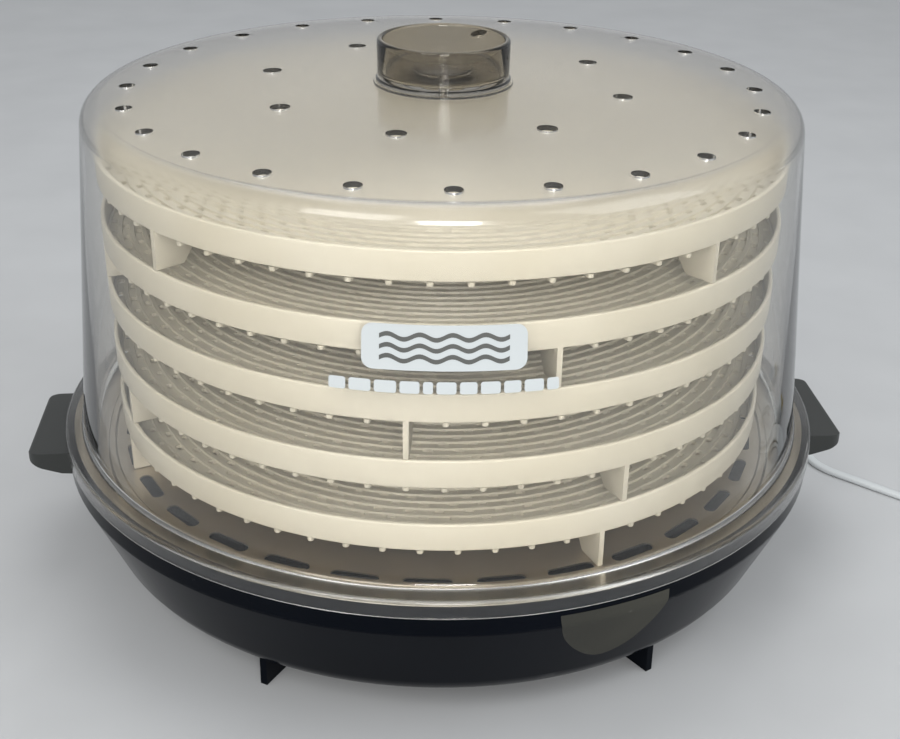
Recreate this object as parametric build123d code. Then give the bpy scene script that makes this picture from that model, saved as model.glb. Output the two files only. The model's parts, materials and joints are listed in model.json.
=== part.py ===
"""A round stacking food dehydrator: a black base pan with a heater and a fan, a slotted metal deck,
five stacked trays and a clear domed cover with a cup-shaped knob.

Millimetres, +Z up.  The origin is on the table, under the centre of the pan; the front is -Y and the
two handles lie along X.
"""
from build123d import *
import math
import os

# ---------------------------------------------------------------- driving dimensions
# Trays: everything round them takes its diameter from tray_radius.
tray_count = 5
tray_pitch = 31.5
tray_radius = 169.0
tray_rim_height = 13.0
tray_rim_wall = 2.2
tray_floor_thickness = 1.6
tray_floor_top = 1.0        # above the rim's lower edge
tray_rib_count = 32
tray_rib_width = 2.6
tray_rib_drop = 2.7         # how far the ribs hang below the rim
tray_rib_setback = 0.8      # rib ends, in from the rim's outside
tray_hub_radius = 16.0
tray_slot_rows = 6
tray_slot_inner_radius = 30.0
tray_slot_edge = 9.0        # last row of slots, in from the rim's outside
tray_slot_width = 6.0
tray_bridge_width = 5.0     # solid web between two slots of a row
tray_leg_count = 4
tray_leg_thickness = 2.4
tray_leg_foot = 14.0        # length of a leg's flat sole
tray_leg_slope = 10.5       # how much longer the leg is where it joins the ribs
tray_gap = 0.3              # a tray's soles to what they stand on
tray_turns = (21.3, 24.8, -8.9, 12.6, 39.3)   # how each tray happens to be turned, degrees

# Clear cover.
cover_headroom = 23.2       # top tray's rim to the crown
cover_crown_drop = 4.1      # crown down to the shoulder
cover_side_gap = 2.6        # tray rim to the cover's wall at the shoulder
cover_taper = 13.1          # how much wider the wall is at its foot
cover_wall = 2.5
cover_corner_round = 10.0
cover_flange_rise = 4.7     # wall's foot, above the flange's seat
cover_flange_thickness = 2.6
cover_skirt_fit = 0.5       # skirt to the pan's neck, all round
cover_skirt_wall = 2.2
cover_seat_gap = 0.3        # flange to the pan's rim, and skirt to the pan's shoulder
cover_pad_margin = 1.1      # pad under the knob, out from the knob's foot
cover_pad_rise = 0.8
cover_boss_margin = 1.5     # boss for the washer, out from the washer
cover_boss_rise = 1.0
cover_turn = -2.5           # how the cover happens to be turned on the pan, degrees
vent_outer_count = 24
vent_outer_inset = 20.1     # outer ring of holes, in from the shoulder
vent_outer_diameter = 8.0
vent_inner_count = 8
vent_inner_ring_radius = 88.2
vent_inner_diameter = 9.6

# Knob: an open cup screwed on from under the dome.
knob_base_radius = 33.1
knob_top_radius = 32.5
knob_height = 20.6
knob_wall = 2.8
knob_floor = 3.0
knob_boss_radius = 14.8
knob_boss_rise = 2.0
knob_pilot_roof = 1.0       # plastic left over the screw's pilot hole

# Base pan: a black moulding on four fins.
foot_height = 12.0          # table to the underside of the pan
foot_inset = 2.3            # outer end of a fin, in from where the side would meet the bottom
foot_length = 53.5
foot_thickness = 3.6
foot_azimuth = 32.3         # degrees either side of the front and of the back
pan_shoulder_height = 70.0
pan_neck_height = 6.0       # the neck that the cover's skirt goes over
pan_neck_reach = 6.8        # the neck's outside, out from the cover's wall
pan_shoulder_step = 1.8
pan_band_height = 8.5       # the upright band under the shoulder
pan_side_slope = 22.0       # how much the side leans in down to the bottom
pan_corner_round = 20.0
pan_wall = 2.6
pan_ledge_width = 5.4       # the ledge that carries the deck, in from the neck's inside
pan_ledge_thickness = 3.0

# Deck plate: bright sheet metal with a ring of air slots.
deck_thickness = 0.8
deck_recess = 7.5           # top face, below the pan's rim
deck_edge_gap = 0.4
deck_slot_count = 32
deck_slot_inset = 3.0       # ring of slots, in from the trays' outside
deck_slot_length = 22.5
deck_slot_width = 6.0
deck_bead_outset = 8.0      # bead, out from the trays' outside
deck_bead_width = 5.0
deck_bead_rise = 1.0
deck_screw_inset = 29.0     # screws, in from the trays' outside
deck_screw_count = 4
deck_screw_turn = 45.0
deck_boss_wall = 2.7        # plastic round a screw

# Handles: two wedges on the pan's side.
handle_length = 69.0
handle_projection = 19.2    # the nose, out from the pan's band
handle_drop = 5.0           # the flat top, below the pan's shoulder
handle_root_depth = 12.4
handle_nose_depth = 5.4
handle_root_run = 2.2       # level part of the underside, out from the pan's band
handle_under_rise = 3.6     # how far the underside rises before the nose
handle_top_fall = 0.4       # how far the top falls to the nose
handle_corner_round = 7.0
handle_screw_spacing = 40.0
handle_screw_drop = 6.0     # screws, below the flat top
handle_screw_bite = 7.0
handle_pad_depth = 6.0      # screw's seat, in from the pan's inside

# Fasteners.
screw_diameter = 3.6
screw_head_diameter = 7.6
screw_head_height = 2.2
screw_hole_clearance = 0.3
screw_pilot_spare = 1.0
deck_screw_length = 10.0
deck_pilot_depth = 12.0
motor_screw_bite = 4.0
washer_diameter = 12.0
washer_thickness = 1.0

# Fan motor: a shaded-pole motor standing on two posts.
motor_stack_width = 60.0
motor_stack_front = 25.0    # shaft to the front edge of the laminations
motor_stack_back = 41.0
motor_stack_height = 20.0
motor_window_width = 36.0
motor_window_near = 17.0
motor_limb_depth = 8.0      # the limb that the coil is wound on
motor_shaft_headroom = 4.7  # shaft's top to the deck
motor_coil_width = 30.0
motor_coil_build = 8.0
motor_bracket_width = 14.0
motor_bracket_thickness = 2.0
motor_bracket_standoff = 4.0
motor_hub_diameter = 12.0
motor_hub_height = 8.0
motor_screw_spacing = 48.0
motor_post_diameter = 10.0
rotor_diameter = 25.0
rotor_air_gap = 0.3
shaft_diameter = 4.0
shaft_running_clearance = 0.04
shaft_stand_up = 17.0       # shaft's top, above the laminations

# Impeller.
impeller_radius = 68.0
impeller_blade_inner_radius = 54.0
impeller_blade_count = 16
impeller_blade_thickness = 1.4
impeller_blade_lean = 30.0
impeller_blade_height = 13.5
impeller_plate_drop = 6.5   # the disc's underside, below the shaft's top
impeller_plate_thickness = 1.5
impeller_hub_wall = 5.0
impeller_hub_drop = 0.5

# Air intake in the pan's bottom.
intake_slot_count = 24
intake_inner_radius = 44.0
intake_outer_radius = 84.0
intake_slot_width = 4.6
intake_turn = 7.5

# Heater: one tubular ring with a gap beside the cord's entry.
heater_ring_radius = 98.0
heater_tube_diameter = 6.5
heater_lift = 31.4          # tube's centre, above the pan's floor
heater_gap_angle = 34.0
heater_pin_diameter = 3.0
heater_pin_length = 9.0
heater_support_count = 4
heater_support_width = 8.0
heater_support_depth = 12.0
heater_support_cap = 3.0
heater_support_fit = 0.1
heater_support_turn = 72.0

# Wiring.
entry_angle = 27.0          # cord entry, degrees from +X towards the back
entry_rise = 15.4           # cord's centre, above the pan's floor
block_length = 28.0
block_width = 18.0
block_height = 12.0
block_standback = 42.0      # terminal block, in from the gland's face
block_screw_hole = 4.4
block_screw_depth = 3.0
block_screw_setback = 8.0
block_screw_spacing = 9.0
cutout_radius = 124.0       # place of the thermal cut-out, from the axis
cutout_angle = 54.0
cutout_diameter = 16.0
cutout_depth = 9.0
cutout_flange = 1.0
cutout_flange_margin = 2.0
wire_diameter = 2.2

# Mains cord.
gland_boss_diameter = 18.0
gland_boss_outset = 12.2    # flat face of the boss, out from where the side would meet the bottom
gland_boss_depth = 12.0
gland_neck_diameter = 8.8
gland_hole_clearance = 0.1
gland_flange_diameter = 13.0
gland_flange_thickness = 2.5
gland_nut_thickness = 4.0
gland_sleeve_length = 22.0
gland_sleeve_root_diameter = 10.0
gland_sleeve_tip_diameter = 6.6
cord_diameter = 3.4         # a round tube that stands for the flat twin cord
cord_width = 5.6            # the flat cord's width, which spaces the coil's turns
cord_first_run = 20.0       # straight on out of the sleeve
coil_mid_radius = 31.4
coil_centre = (326.0, 6.0)
coil_columns = 4
coil_layers = 2
plug_length = 26.0
plug_width = 22.0
plug_thickness = 14.0
plug_boot_length = 16.0
plug_boot_diameter = 8.0
blade_length = 17.0
blade_width = 6.3
blade_thickness = 1.5
blade_spacing = 12.7

# ---------------------------------------------------------------- sizes that follow
cover_shoulder_radius = tray_radius + cover_side_gap + cover_wall
cover_foot_radius = cover_shoulder_radius + cover_taper
pan_rim_radius = cover_foot_radius + pan_neck_reach
pan_upright_radius = pan_rim_radius + pan_shoulder_step
pan_turn_radius = pan_upright_radius - pan_side_slope
pan_mouth_radius = pan_rim_radius - pan_wall
pan_ledge_radius = pan_mouth_radius - pan_ledge_width
pan_rim_height = pan_shoulder_height + pan_neck_height
pan_upright_bottom = pan_shoulder_height - pan_band_height
pan_floor_top = foot_height + pan_wall
foot_outer_radius = pan_turn_radius - foot_inset
cover_skirt_inner = pan_rim_radius + cover_skirt_fit
cover_skirt_outer = cover_skirt_inner + cover_skirt_wall
cover_seat_height = pan_rim_height + cover_seat_gap
cover_skirt_bottom = pan_shoulder_height + cover_seat_gap
cover_foot_height = cover_seat_height + cover_flange_rise
cover_flange_top = cover_seat_height + cover_flange_thickness
deck_height = pan_rim_height - deck_recess
deck_underside = deck_height - deck_thickness
deck_slot_ring_radius = tray_radius - deck_slot_inset
deck_bead_radius = tray_radius + deck_bead_outset
deck_screw_radius = tray_radius - deck_screw_inset
tray_sole_drop = tray_pitch - tray_rim_height - tray_gap
first_rim_bottom = deck_height + tray_gap + tray_sole_drop
stack_top = first_rim_bottom + (tray_count - 1) * tray_pitch + tray_rim_height
cover_top_height = stack_top + cover_headroom
vent_outer_ring_radius = cover_shoulder_radius - vent_outer_inset
knob_seat_height = cover_top_height + cover_pad_rise
knob_pilot_depth = knob_floor + knob_boss_rise - knob_pilot_roof
knob_washer_top = cover_top_height - cover_wall - cover_boss_rise
cover_pad_radius = knob_base_radius + cover_pad_margin
handle_reach = pan_upright_radius + handle_projection
handle_top = pan_shoulder_height - handle_drop
handle_screw_height = handle_top - handle_screw_drop
handle_pad_face = pan_upright_radius - pan_wall - handle_pad_depth
shaft_top = deck_underside - motor_shaft_headroom
motor_stack_top = shaft_top - shaft_stand_up
motor_stack_bottom = motor_stack_top - motor_stack_height
motor_post_top = motor_stack_bottom - motor_bracket_standoff - motor_bracket_thickness
shaft_bottom = motor_post_top - 2.0
impeller_plate_bottom = shaft_top - impeller_plate_drop
impeller_blade_bottom = impeller_plate_bottom - impeller_blade_height
entry_height = pan_floor_top + entry_rise
heater_height = pan_floor_top + heater_lift
gland_boss_face = pan_turn_radius + gland_boss_outset
gland_boss_back = gland_boss_face - gland_boss_depth
block_inner_radius = gland_boss_face - block_standback - block_length


# ---------------------------------------------------------------- helpers
def profile(points, rounds=None):
    """A face in the XZ plane through (radius, height) points; rounds gives a corner's number its radius."""
    face = make_face(Polyline(*points, close=True))
    for number, radius in (rounds or {}).items():
        x, z = points[number]
        corner = face.vertices().sort_by_distance(Vector(x, z, 0))[0]
        face = fillet([corner], radius)
    return Plane.XZ * face


def turned(points, rounds=None):
    """The solid of revolution about Z of a profile."""
    return revolve(profile(points, rounds), Axis.Z)


def upright(diameter, bottom, top, x=0.0, y=0.0):
    """A vertical round bar from one height to another."""
    bar = Cylinder(diameter / 2, top - bottom, align=(Align.CENTER, Align.CENTER, Align.MIN))
    return Pos(x, y, bottom) * bar


def block(x_range, y_range, z_range):
    """A box between two limits along each axis."""
    size = [high - low for low, high in (x_range, y_range, z_range)]
    middle = [(high + low) / 2 for low, high in (x_range, y_range, z_range)]
    return Pos(*middle) * Box(*size)


def ring_of(shape, count, start=0.0):
    """Copies of a shape spread evenly about Z."""
    return [Rot(0, 0, start + 360.0 * i / count) * shape for i in range(count)]


def along(radius, angle, height):
    """A place whose X axis points outwards from Z, for what is set radially."""
    return Rot(0, 0, angle) * Pos(radius, 0, height)


def radial_bar(diameter, inner, outer, height):
    """A round bar along +X between two radii."""
    bar = Cylinder(diameter / 2, outer - inner, align=(Align.CENTER, Align.CENTER, Align.MIN))
    return Pos(inner, 0, height) * Rot(0, 90, 0) * bar


def pan_screw(length):
    """A pan-head screw, head down, its shank pointing up +Z from the seat at the origin."""
    shank = upright(screw_diameter, 0, length)
    head = upright(screw_head_diameter, -screw_head_height, 0)
    return fillet((shank + head).edges().group_by(Axis.Z)[0], screw_head_height / 3)


# ---------------------------------------------------------------- base
def pan_outer():
    """The pan's outside, as a full solid of revolution."""
    points = [
        (0, foot_height),
        (pan_turn_radius, foot_height),
        (pan_upright_radius, pan_upright_bottom),
        (pan_upright_radius, pan_shoulder_height),
        (pan_rim_radius, pan_shoulder_height),
        (pan_rim_radius, pan_rim_height),
        (0, pan_rim_height),
    ]
    return turned(points, {1: pan_corner_round, 2: 4.0})


def pan_cavity():
    """The pan's inside, with the ledge for the deck."""
    lean = math.atan2(pan_upright_radius - pan_turn_radius, pan_upright_bottom - foot_height)
    inward = pan_wall / math.cos(lean)
    corner = pan_turn_radius - inward + pan_wall * math.tan(lean)
    ledge_bottom = deck_underside - pan_ledge_thickness
    below = [
        (0, pan_floor_top),
        (corner, pan_floor_top),
        (pan_upright_radius - pan_wall, pan_upright_bottom),
        (pan_upright_radius - pan_wall, ledge_bottom),
        (0, ledge_bottom),
    ]
    lower = turned(below, {1: pan_corner_round - pan_wall})
    throat = upright(2 * pan_ledge_radius, ledge_bottom - 1, deck_underside)
    mouth = upright(2 * pan_mouth_radius, deck_underside, pan_rim_height + 1)
    return lower + throat + mouth


def foot_angles():
    """Where the four fins stand, degrees from +X."""
    front, back = -90.0, 90.0
    return [front - foot_azimuth, front + foot_azimuth, back - foot_azimuth, back + foot_azimuth]


def handle_screw_places():
    """Each handle screw: the side it is on and its Y."""
    half = handle_screw_spacing / 2
    return [(side, y) for side in (-1, 1) for y in (-half, half)]


def at_handle(side, shape):
    """A shape made for the right-hand handle, moved to the given side."""
    return Rot(0, 0, 0 if side > 0 else 180) * shape


def pan_fins():
    fin = block((foot_outer_radius - foot_length, foot_outer_radius), (-foot_thickness / 2, foot_thickness / 2),
                (0, foot_height + pan_corner_round))
    return [Rot(0, 0, angle) * fin for angle in foot_angles()]


def pan_bosses():
    """Screw towers for the deck, posts for the motor and pads for the handle screws."""
    root = (foot_height + pan_floor_top) / 2
    tower = upright(screw_diameter + 2 * deck_boss_wall, root, deck_underside, deck_screw_radius)
    bosses = ring_of(tower, deck_screw_count, deck_screw_turn)
    for x in motor_screw_xs():
        bosses.append(upright(motor_post_diameter, root, motor_post_top, x))
    for side, y in handle_screw_places():
        pad = radial_bar(screw_head_diameter + 2, handle_pad_face, pan_upright_radius, handle_screw_height)
        bosses.append(at_handle(side, Pos(0, y, 0) * pad))
    return [boss & pan_outer() for boss in bosses]


def pan_holes():
    """Pilot holes, handle screw holes, the cord's hole and the air intake."""
    tower = upright(screw_diameter, deck_underside - deck_pilot_depth, deck_underside + 1, deck_screw_radius)
    holes = ring_of(tower, deck_screw_count, deck_screw_turn)
    for x in motor_screw_xs():
        holes.append(upright(screw_diameter, motor_post_top - motor_screw_bite, motor_post_top + 1, x))
    for side, y in handle_screw_places():
        bore = radial_bar(screw_diameter + screw_hole_clearance, handle_pad_face - 1, pan_upright_radius + 1,
                          handle_screw_height)
        holes.append(at_handle(side, Pos(0, y, 0) * bore))
    entry = radial_bar(gland_neck_diameter + 2 * gland_hole_clearance, gland_boss_back - 2, gland_boss_face + 1,
                       entry_height)
    slot = SlotOverall(intake_outer_radius - intake_inner_radius, intake_slot_width)
    slot = extrude(slot, pan_wall + 2, both=True)
    slot = Pos((intake_inner_radius + intake_outer_radius) / 2, 0, foot_height) * slot
    return holes + [along(0, entry_angle, 0) * entry] + ring_of(slot, intake_slot_count, intake_turn)


def make_base_pan():
    gland_boss = radial_bar(gland_boss_diameter, gland_boss_back, gland_boss_face, entry_height)
    pan = pan_outer() + pan_fins() - pan_cavity() + along(0, entry_angle, 0) * gland_boss
    return pan + pan_bosses() - pan_holes()


def make_deck_plate():
    low, high = deck_underside, deck_height
    inner, outer = deck_bead_radius - deck_bead_width / 2, deck_bead_radius + deck_bead_width / 2
    edge = pan_mouth_radius - deck_edge_gap
    rise = deck_bead_rise
    points = [
        (0, low), (inner, low), (inner + rise, low + rise), (outer - rise, low + rise), (outer, low),
        (edge, low), (edge, high), (outer, high), (outer - rise, high + rise), (inner + rise, high + rise),
        (inner, high), (0, high),
    ]
    plate = turned(points)
    slot = Pos(deck_slot_ring_radius, 0, low - 1) * Rot(0, 0, 90) * extrude(
        SlotOverall(deck_slot_length, deck_slot_width), deck_thickness + 2)
    hole = upright(screw_diameter + screw_hole_clearance, low - 1, high + 1, deck_screw_radius)
    slots = ring_of(slot, deck_slot_count, -90.0 + 180.0 / deck_slot_count)
    return plate - slots - ring_of(hole, deck_screw_count, deck_screw_turn)


def make_deck_screws():
    screw = Pos(deck_screw_radius, 0, deck_height) * Rot(180, 0, 0) * pan_screw(deck_screw_length)
    return ring_of(screw, deck_screw_count, deck_screw_turn)


def make_handle(side):
    """One wedge: flat on top, a rounded nose, the underside rising outwards."""
    root, bottom = pan_ledge_radius, handle_top - handle_root_depth
    nose_top = handle_top - handle_top_fall
    points = [
        (root, bottom),
        (pan_upright_radius + handle_root_run, bottom + handle_under_rise / 6),
        (handle_reach - handle_corner_round, bottom + handle_under_rise),
        (handle_reach, nose_top - handle_nose_depth),
        (handle_reach, nose_top),
        (root, handle_top),
    ]
    half = handle_length / 2
    bar = extrude(profile(points, {4: 2.0, 3: 3.0, 2: 6.0}), half, both=True)
    plan = Pos((root + handle_reach) / 2, 0) * Rectangle(handle_reach - root, handle_length)
    plan = fillet(plan.vertices().group_by(Axis.X)[-1], handle_corner_round)
    wedge = (bar & extrude(plan, handle_top + 5)) - pan_outer()
    for y in (-handle_screw_spacing / 2, handle_screw_spacing / 2):
        pilot_end = pan_upright_radius + handle_screw_bite + screw_pilot_spare
        wedge -= Pos(0, y, 0) * radial_bar(screw_diameter, root, pilot_end, handle_screw_height)
    return at_handle(side, wedge)


def make_handle_screws():
    screws = []
    for side, y in handle_screw_places():
        length = pan_upright_radius + handle_screw_bite - handle_pad_face
        screw = Pos(handle_pad_face, y, handle_screw_height) * Rot(0, 90, 0) * pan_screw(length)
        screws.append(at_handle(side, screw))
    return screws


# ---------------------------------------------------------------- fan and motor
def motor_screw_xs():
    return (-motor_screw_spacing / 2, motor_screw_spacing / 2)


def make_motor_stack():
    half = motor_stack_width / 2
    span = (motor_stack_bottom, motor_stack_top)
    stack = block((-half, half), (-motor_stack_front, motor_stack_back), span)
    window_far = motor_stack_back - motor_limb_depth
    window = block((-motor_window_width / 2, motor_window_width / 2), (motor_window_near, window_far),
                   (span[0] - 1, span[1] + 1))
    bore = upright(rotor_diameter + 2 * rotor_air_gap, span[0] - 1, span[1] + 1)
    bolt = screw_diameter + screw_hole_clearance
    holes = [upright(bolt, span[0] - 1, span[1] + 1, x) for x in motor_screw_xs()]
    return stack - window - bore - holes


def make_motor_coil():
    """The winding, a squared ring round the back limb."""
    build = motor_coil_build
    limb_y = (motor_stack_back - motor_limb_depth, motor_stack_back)
    limb_z = (motor_stack_bottom, motor_stack_top)
    half = motor_coil_width / 2
    body = block((-half, half), (limb_y[0] - build, limb_y[1] + build), (limb_z[0] - build, limb_z[1] + build))
    body = fillet(body.edges().filter_by(Axis.X), 3.0)
    return body - block((-half - 1, half + 1), limb_y, limb_z)


def make_motor_bracket(upper):
    """A bearing strap on two feet; the lower one hangs under the laminations."""
    reach = motor_screw_spacing / 2 + motor_bracket_width / 2 - 1
    half = motor_bracket_width / 2
    base, strap = motor_bracket_standoff, motor_bracket_standoff + motor_bracket_thickness
    body = block((-reach, reach), (-half, half), (base, strap))
    for x in motor_screw_xs():
        body += block((x - half + 1, x + half - 1), (-half, half), (0, base))
        body -= upright(screw_diameter + screw_hole_clearance, -1, strap + 1, x)
    body += upright(motor_hub_diameter, strap - motor_hub_height / 2, strap + motor_hub_height / 2 - 1)
    body -= upright(shaft_diameter + 2 * shaft_running_clearance, -1, strap + motor_hub_height)
    if upper:
        return Pos(0, 0, motor_stack_top) * body
    return Pos(0, 0, motor_stack_bottom) * Rot(180, 0, 0) * body


def make_motor_screws():
    top = motor_stack_top + motor_bracket_standoff + motor_bracket_thickness
    length = top - motor_post_top + motor_screw_bite
    return [Pos(x, 0, top) * Rot(180, 0, 0) * pan_screw(length) for x in motor_screw_xs()]


def make_motor_rotor():
    rotor = upright(rotor_diameter, motor_stack_bottom - 0.5, motor_stack_top + 0.5)
    return rotor - upright(shaft_diameter, motor_stack_bottom - 2, motor_stack_top + 2)


def make_motor_shaft():
    shaft = upright(shaft_diameter, shaft_bottom, shaft_top)
    return chamfer(shaft.edges().filter_by(GeomType.CIRCLE), 0.3)


def make_fan_impeller():
    plate_top = impeller_plate_bottom + impeller_plate_thickness
    plate = upright(2 * impeller_radius, impeller_plate_bottom, plate_top)
    hub_bottom = impeller_plate_bottom - impeller_hub_drop
    hub = upright(shaft_diameter + 2 * impeller_hub_wall, hub_bottom, shaft_top - 1)
    length = (impeller_radius - impeller_blade_inner_radius) / math.cos(math.radians(impeller_blade_lean)) - 1
    blade = block((0, length), (-impeller_blade_thickness / 2, impeller_blade_thickness / 2),
                  (impeller_blade_bottom, impeller_plate_bottom + 0.5))
    blade = Pos(impeller_blade_inner_radius, 0, 0) * Rot(0, 0, impeller_blade_lean) * blade
    wheel = plate + hub + ring_of(blade, impeller_blade_count)
    return wheel - upright(shaft_diameter, impeller_blade_bottom, shaft_top + 1)


# ---------------------------------------------------------------- heater and wiring
def make_heater_element():
    half_gap = heater_gap_angle / 2
    end = along(heater_ring_radius, entry_angle + half_gap, heater_height) * Rot(90, 0, 0)
    ring = revolve(end * Circle(heater_tube_diameter / 2), Axis.Z, 360 - heater_gap_angle)
    pin = Cylinder(heater_pin_diameter / 2, heater_pin_length, align=(Align.CENTER, Align.CENTER, Align.MIN))
    for sign in (-1, 1):
        place = along(heater_ring_radius, entry_angle + sign * half_gap, heater_height)
        ring += place * Rot(90 * sign, 0, 0) * Pos(0, 0, -0.5) * pin
    return ring


def make_heater_supports():
    bore = heater_tube_diameter + 2 * heater_support_fit
    top = heater_height + bore / 2 + heater_support_cap
    post = block((-heater_support_depth / 2, heater_support_depth / 2),
                 (-heater_support_width / 2, heater_support_width / 2), (pan_floor_top, top))
    post = Pos(heater_ring_radius, 0, 0) * post
    channel = revolve(Pos(heater_ring_radius, 0, heater_height) * Rot(90, 0, 0) * Circle(bore / 2), Axis.Z)
    return [piece - channel for piece in ring_of(post, heater_support_count, heater_support_turn)]


def make_terminal_block():
    shell = block((block_inner_radius, block_inner_radius + block_length), (-block_width / 2, block_width / 2),
                  (pan_floor_top, pan_floor_top + block_height))
    shell = fillet(shell.edges().filter_by(Axis.Z), 2.0)
    top = pan_floor_top + block_height
    block_middle = block_inner_radius + block_length / 2
    reach = block_length / 2 - block_screw_setback
    for x in (block_middle - reach, block_middle + reach):
        for y in (-block_screw_spacing / 2, block_screw_spacing / 2):
            shell -= upright(block_screw_hole, top - block_screw_depth, top + 1, x, y)
    return along(0, entry_angle, 0) * shell


def make_thermal_cutout():
    can = upright(cutout_diameter, deck_underside - cutout_depth, deck_underside - cutout_flange)
    rim = cutout_diameter + 2 * cutout_flange_margin
    plate = upright(rim, deck_underside - cutout_flange, deck_underside)
    return along(cutout_radius, cutout_angle, 0) * (can + plate)


def in_plan(radius, angle, height):
    """A point by radius and angle, in degrees from +X."""
    turn = math.radians(angle)
    return Vector(radius * math.cos(turn), radius * math.sin(turn), height)


def wire(points, bend=5.0):
    """An insulated wire along straight runs with rounded corners."""
    path = FilletPolyline(*points, radius=bend)
    section = Plane(origin=path @ 0, z_dir=path % 0) * Circle(wire_diameter / 2)
    return sweep(section, path=path)


def make_internal_wiring():
    gland_end = gland_boss_back - gland_nut_thickness - 0.3
    block_outer = block_inner_radius + block_length
    side = math.degrees(3.0 / block_outer)
    mid_block = pan_floor_top + block_height / 2
    pin_angle = heater_gap_angle / 2 - math.degrees(heater_pin_length / heater_ring_radius) + 0.6
    wires = []
    for sign in (-1, 1):
        wires.append(wire([
            in_plan(gland_end, entry_angle + sign * side * 0.6, entry_height),
            in_plan(gland_end - 9, entry_angle + sign * side * 0.6, entry_height),
            in_plan(block_outer + 7, entry_angle + sign * side, mid_block),
            in_plan(block_outer, entry_angle + sign * side, mid_block),
        ], 3.0))
    inner_end = block_inner_radius
    for sign in (-1, 1):
        wires.append(wire([
            in_plan(inner_end, entry_angle + sign * 2.6, mid_block + 2.5),
            in_plan(inner_end - 8, entry_angle + sign * 2.6, mid_block + 2.5),
            in_plan(inner_end - 10, entry_angle + sign * 3.2, heater_height - 2),
            in_plan(heater_ring_radius + 0.4, entry_angle + sign * (pin_angle - 0.4), heater_height),
        ], 3.0))
    coil_side = motor_coil_width / 2
    tail_y = motor_stack_back + motor_coil_build / 2 + 0.5
    tail_z = motor_stack_bottom - motor_coil_build + 2.6
    for sign, drop in ((-1, 0.0), (1, 3.4)):
        wires.append(wire([
            in_plan(inner_end, entry_angle + sign * 1.0, mid_block - 3.5),
            in_plan(inner_end - 20, entry_angle + sign * 1.2, mid_block - 3.5),
            Vector(coil_side + 14, tail_y + drop, mid_block),
            Vector(coil_side, tail_y, tail_z + drop),
        ], 4.0))
    return wires


# ---------------------------------------------------------------- mains cord
exit_radius = gland_boss_face + gland_flange_thickness + gland_sleeve_length
cord_route = [
    tuple(in_plan(exit_radius, entry_angle, entry_height)),
    tuple(in_plan(exit_radius + cord_first_run, entry_angle, entry_height)),
    (224.0, 104.0, 22.0),
    (236.0, 92.0, 9.0),
    (238.0, 75.0, 1.7),
    (229.5, 59.0, 1.7),
    (233.0, 40.0, 1.7),
    (250.0, 24.0, 1.7),
    (266.0, 8.6, 1.7),
    (282.0, -6.2, 1.7),
    (298.1, -22.2, 1.7),
]


def cord_radii(points):
    """The largest arc that each corner's two runs leave room for."""
    radii = []
    for before, here, after in zip(points, points[1:], points[2:]):
        incoming, outgoing = Vector(*here) - Vector(*before), Vector(*after) - Vector(*here)
        turn = math.radians(incoming.get_angle(outgoing))
        radii.append(0.45 * min(incoming.length, outgoing.length) / math.tan(turn / 2))
    return radii


def make_cord_strain_relief():
    neck = radial_bar(gland_neck_diameter, gland_boss_back, gland_boss_face, entry_height)
    flange_end = gland_boss_face + gland_flange_thickness
    flange = radial_bar(gland_flange_diameter, gland_boss_face, flange_end, entry_height)
    nut_end = gland_boss_back - gland_nut_thickness
    nut = radial_bar(gland_flange_diameter, nut_end, gland_boss_back, entry_height)
    cone = Cone(gland_sleeve_root_diameter / 2, gland_sleeve_tip_diameter / 2, gland_sleeve_length,
                align=(Align.CENTER, Align.CENTER, Align.MIN))
    sleeve = Pos(flange_end, 0, entry_height) * Rot(0, 90, 0) * cone
    return along(0, entry_angle, 0) * (neck + flange + nut + sleeve)


def make_cord_tube():
    radii = cord_radii(cord_route)
    print("cord bend radii", [round(r, 1) for r in radii])
    path = FilletPolyline(*cord_route, radius=radii)
    section = Plane(origin=path @ 0, z_dir=path % 0) * Circle(cord_diameter / 2)
    tube = sweep(section, path=path)
    expected = math.pi * cord_diameter ** 2 / 4 * path.length
    print("cord tube length", round(path.length, 1))
    print("cord tube volume", round(tube.volume, 1), "expected", round(expected, 1))
    return tube


def coil_outer_radius():
    return coil_mid_radius + cord_width * coil_columns / 2


def make_cord_coil():
    half = cord_width * coil_columns / 2
    height = cord_width * coil_layers
    points = [(coil_mid_radius - half, 0), (coil_mid_radius + half, 0), (coil_mid_radius + half, height),
              (coil_mid_radius - half, height)]
    ring = turned(points, {0: 1.5, 1: 1.5, 2: 3.0, 3: 3.0})
    return Pos(*coil_centre, 0) * ring


def plug_place():
    """The plug lies beside the coil, pointing back; its boot starts where the last turn leaves the coil."""
    offset = coil_outer_radius() - cord_width / 2
    leaving = math.sqrt(coil_outer_radius() ** 2 - offset ** 2)
    return Pos(coil_centre[0] + offset, coil_centre[1] + leaving + 2.0, plug_thickness / 2)


def make_plug_body():
    cone = Cone(plug_boot_diameter / 2 - 1, plug_boot_diameter / 2, plug_boot_length + 2.5,
                align=(Align.CENTER, Align.CENTER, Align.MIN))
    boot = Rot(-90, 0, 0) * Pos(0, 0, -1.5) * cone
    body = block((-plug_width / 2, plug_width / 2), (plug_boot_length, plug_boot_length + plug_length),
                 (-plug_thickness / 2, plug_thickness / 2))
    body = fillet(body.edges().filter_by(Axis.Y), 4.5)
    return plug_place() * (boot + body)


def make_plug_blades():
    face = plug_boot_length + plug_length
    blades = []
    for x in (-blade_spacing / 2, blade_spacing / 2):
        blade = block((x - blade_thickness / 2, x + blade_thickness / 2), (face, face + blade_length),
                      (-blade_width / 2, blade_width / 2))
        blades.append(plug_place() * blade)
    return blades


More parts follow.
